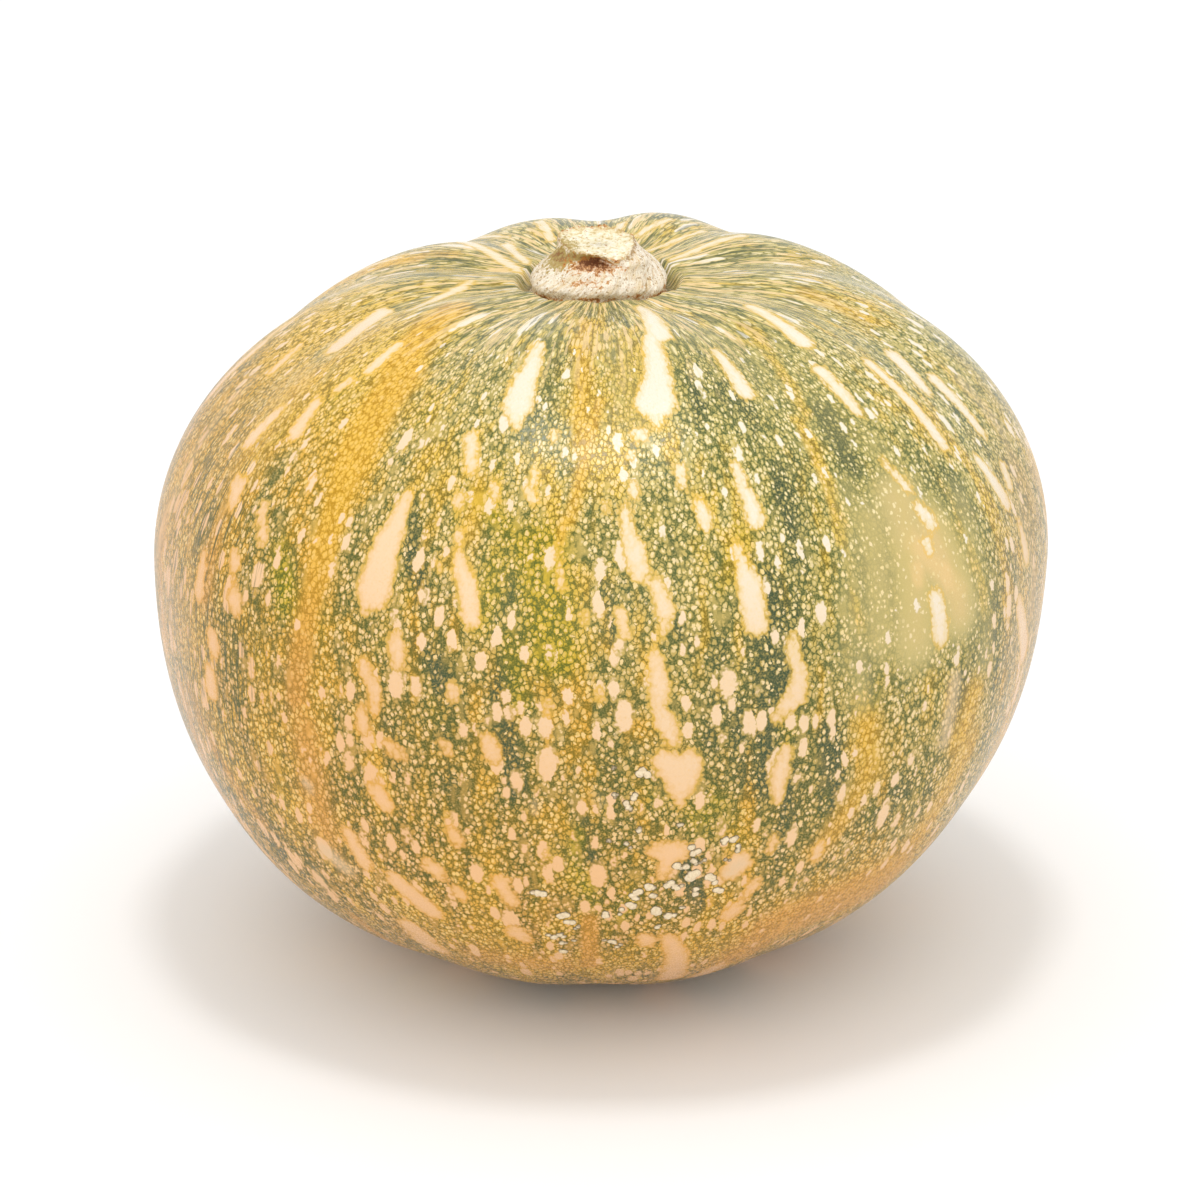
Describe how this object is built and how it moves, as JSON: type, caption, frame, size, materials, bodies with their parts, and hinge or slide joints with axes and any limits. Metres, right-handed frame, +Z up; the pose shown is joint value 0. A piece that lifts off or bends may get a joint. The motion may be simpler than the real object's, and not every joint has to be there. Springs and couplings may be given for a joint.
{
  "type": "kabocha squash",
  "caption": "Ribbed kabocha squash with a mottled green and orange rind and a corky cut stem, standing on its blossom end.",
  "frame": {"origin": "on the surface that the squash stands on, at the centre of its bounding box, under the stem", "axes": "+Z up along the axis from the blossom end to the stem, -Y towards a viewer in front"},
  "size_m": [0.1993, 0.1982, 0.1633],
  "materials": {
    "rind": "satin",
    "stem_cork": "matte"
  },
  "bodies": {
    "root": {"fruit": "rind", "stem": "stem_cork"}
  },
  "joints": []
}
